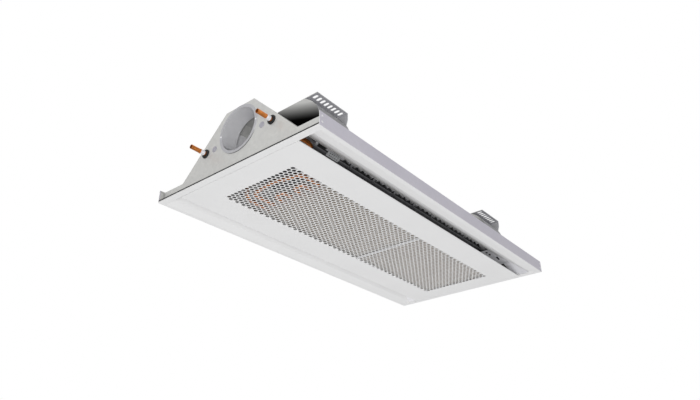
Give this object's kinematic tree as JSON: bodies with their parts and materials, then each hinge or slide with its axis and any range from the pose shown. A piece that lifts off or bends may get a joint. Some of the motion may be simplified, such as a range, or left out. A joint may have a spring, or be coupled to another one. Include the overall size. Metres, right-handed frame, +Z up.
{
  "type": "active chilled beam",
  "caption": "Lay-in active chilled beam with a perforated hinged face panel, side discharge slots, trapezoid air casing, duct spigot, water pipe tails and slotted hangers.",
  "frame": {"origin": "centre of the visible face, on the plane of its lower surface", "axes": "+X along the beam from the inlet end to the outer end, +Z up into the ceiling, -Y the near side of the picture"},
  "size_m": [1.2285, 0.5954, 0.197],
  "materials": {
    "white_enamel": "white powder coat, satin",
    "galvanised_steel": "zinc-coated sheet, dull",
    "copper": "bare drawn copper tube, slightly dulled",
    "aluminium_fin": "thin plain fin stock, bright",
    "black_plastic": "moulded, matte",
    "grey_plastic": "moulded, matte",
    "black_rubber": "soft, matte",
    "spring_steel": "cold rolled, plain",
    "white_band": "thin printed-free sleeve, matte"
  },
  "bodies": {
    "casing": {"blanking_plugs": "grey_plastic", "catch_springs": "spring_steel", "coil_fins": "aluminium_fin", "coil_plate_inlet": "galvanised_steel", "coil_plate_outer": "galvanised_steel", "coil_side_sheets": "galvanised_steel", "coil_straps": "galvanised_steel", "coil_tubes": "copper", "cross_pipe_inlet": "copper", "cross_pipe_outer": "copper", "end_baffle_far": "galvanised_steel", "end_baffle_near": "galvanised_steel", "end_plate_inlet": "galvanised_steel", "end_plate_outer": "galvanised_steel", "end_strip_inlet": "white_enamel", "end_strip_outer": "white_enamel", "frame_rivets": "galvanised_steel", "hanger_inlet_far": "galvanised_steel", "hanger_inlet_near": "galvanised_steel", "hanger_outer_far": "galvanised_steel", "hanger_outer_near": "galvanised_steel", "hinge_pins": "spring_steel", "hood": "galvanised_steel", "inlet_box": "galvanised_steel", "inlet_spigot": "galvanised_steel", "nozzle_rail_far": "galvanised_steel", "nozzle_rail_near": "galvanised_steel", "pipe_bands": "white_band", "pipe_grommets": "black_rubber", "plenum_tray": "galvanised_steel", "plenum_wall": "galvanised_steel", "return_bends_inlet": "copper", "return_bends_outer": "copper", "return_pipe": "copper", "side_frame_far": "white_enamel", "side_frame_near": "white_enamel", "slide_scale_far": "grey_plastic", "slide_scale_near": "grey_plastic", "slide_staples_far": "spring_steel", "slide_staples_near": "spring_steel", "spigot_rivets": "galvanised_steel", "supply_pipe": "copper"},
    "panel": {"face_panel": "white_enamel", "perforated_sheet": "white_enamel", "panel_rib": "galvanised_steel", "panel_studs": "spring_steel"},
    "slide_near": {"nozzle_slide_near": "black_plastic"},
    "slide_far": {"nozzle_slide_far": "black_plastic"}
  },
  "joints": [
    {"name": "panel_hinge", "type": "hinge", "parent": "casing", "child": "panel", "pos_m": [0, 0.2115, 0.008], "axis": [1, 0, 0], "range_deg": [0, 90]},
    {"name": "slide_near_travel", "type": "slide", "parent": "casing", "child": "slide_near", "axis": [1, 0, 0], "range_m": [0, 0.012]},
    {"name": "slide_far_travel", "type": "slide", "parent": "casing", "child": "slide_far", "axis": [1, 0, 0], "range_m": [0, 0.012]}
  ]
}
